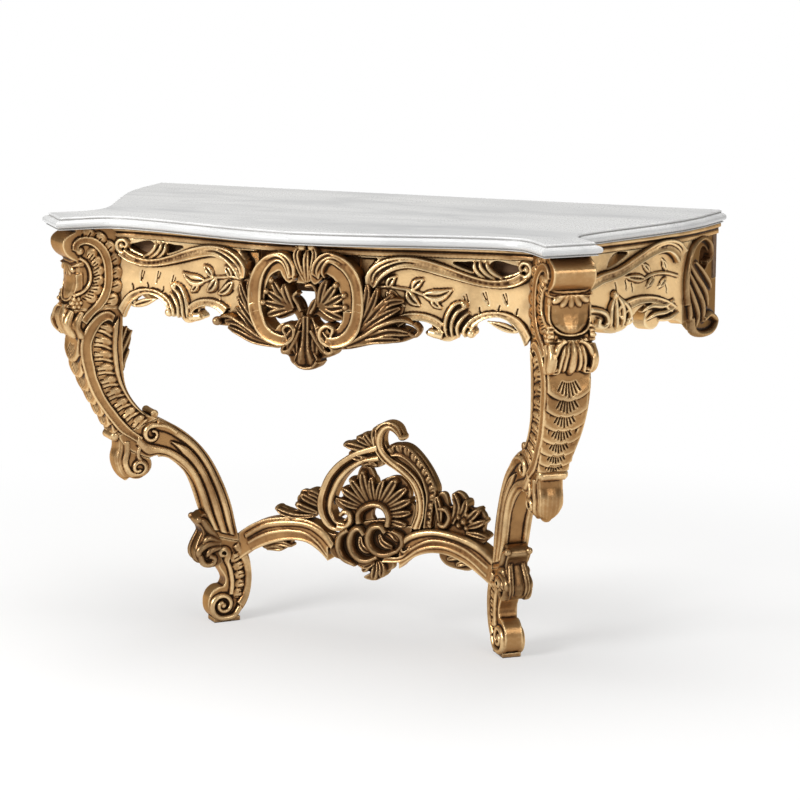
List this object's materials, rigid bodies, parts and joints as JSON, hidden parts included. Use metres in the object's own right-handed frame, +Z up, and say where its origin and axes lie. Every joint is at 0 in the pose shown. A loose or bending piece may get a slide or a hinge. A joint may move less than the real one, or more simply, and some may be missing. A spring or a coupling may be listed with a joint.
{
  "type": "pier table",
  "caption": "Wall-fixed rococo pier table: serpentine marble slab on a carved giltwood frame with scrolled legs, pierced apron and stretcher crest.",
  "frame": {"origin": "on the floor, under the middle of the marble's outline", "axes": "+X along the wall to the viewer's right, +Y towards the wall, +Z up"},
  "size_m": [1.316, 0.6791, 0.88],
  "materials": {
    "marble": "polished, moulded edge",
    "gilt": "gold leaf over red-brown bole",
    "bare_wood": "plain sawn softwood",
    "dowel_wood": "plain turned hardwood"
  },
  "bodies": {
    "root": {"acanthus_spray_left": "gilt", "acanthus_spray_right": "gilt", "ankle_leaf_left": "gilt", "ankle_leaf_right": "gilt", "cartouche_crown": "gilt", "cartouche_leaf_left": "gilt", "cartouche_leaf_right": "gilt", "cartouche_lower_scroll_left": "gilt", "cartouche_lower_scroll_right": "gilt", "cartouche_pendant": "gilt", "cartouche_upper_scroll_left": "gilt", "cartouche_upper_scroll_right": "gilt", "centre_bearer": "bare_wood", "corner_block_left": "gilt", "corner_block_right": "gilt", "cornice_front": "gilt", "cornice_side_left": "gilt", "cornice_side_right": "gilt", "crest_bark": "gilt", "crest_foliage_left": "gilt", "crest_foliage_right": "gilt", "crest_ring": "gilt", "crest_scroll": "gilt", "crest_shell": "gilt", "crest_top_leaves": "gilt", "foot_plinth_left": "gilt", "foot_plinth_right": "gilt", "foot_scroll_left": "gilt", "foot_scroll_right": "gilt", "front_apron_left": "gilt", "front_apron_right": "gilt", "front_rail": "bare_wood", "glue_block_left": "bare_wood", "glue_block_right": "bare_wood", "knee_leaf_left": "gilt", "knee_leaf_right": "gilt", "knee_scroll_left": "gilt", "knee_scroll_right": "gilt", "knee_volute_left": "gilt", "knee_volute_right": "gilt", "leg_dowels_left": "dowel_wood", "leg_dowels_right": "dowel_wood", "marble_top": "marble", "rear_panel_left": "gilt", "rear_panel_right": "gilt", "rear_rail": "bare_wood", "shin_scroll_left": "gilt", "shin_scroll_right": "gilt", "side_apron_left": "gilt", "side_apron_right": "gilt", "stretcher_arm_left": "gilt", "stretcher_arm_right": "gilt", "stretcher_boss": "gilt", "stretcher_dowel_left": "dowel_wood", "stretcher_dowel_right": "dowel_wood", "stretcher_drop": "gilt", "stretcher_leaf_left": "gilt", "stretcher_leaf_right": "gilt"}
  },
  "joints": []
}
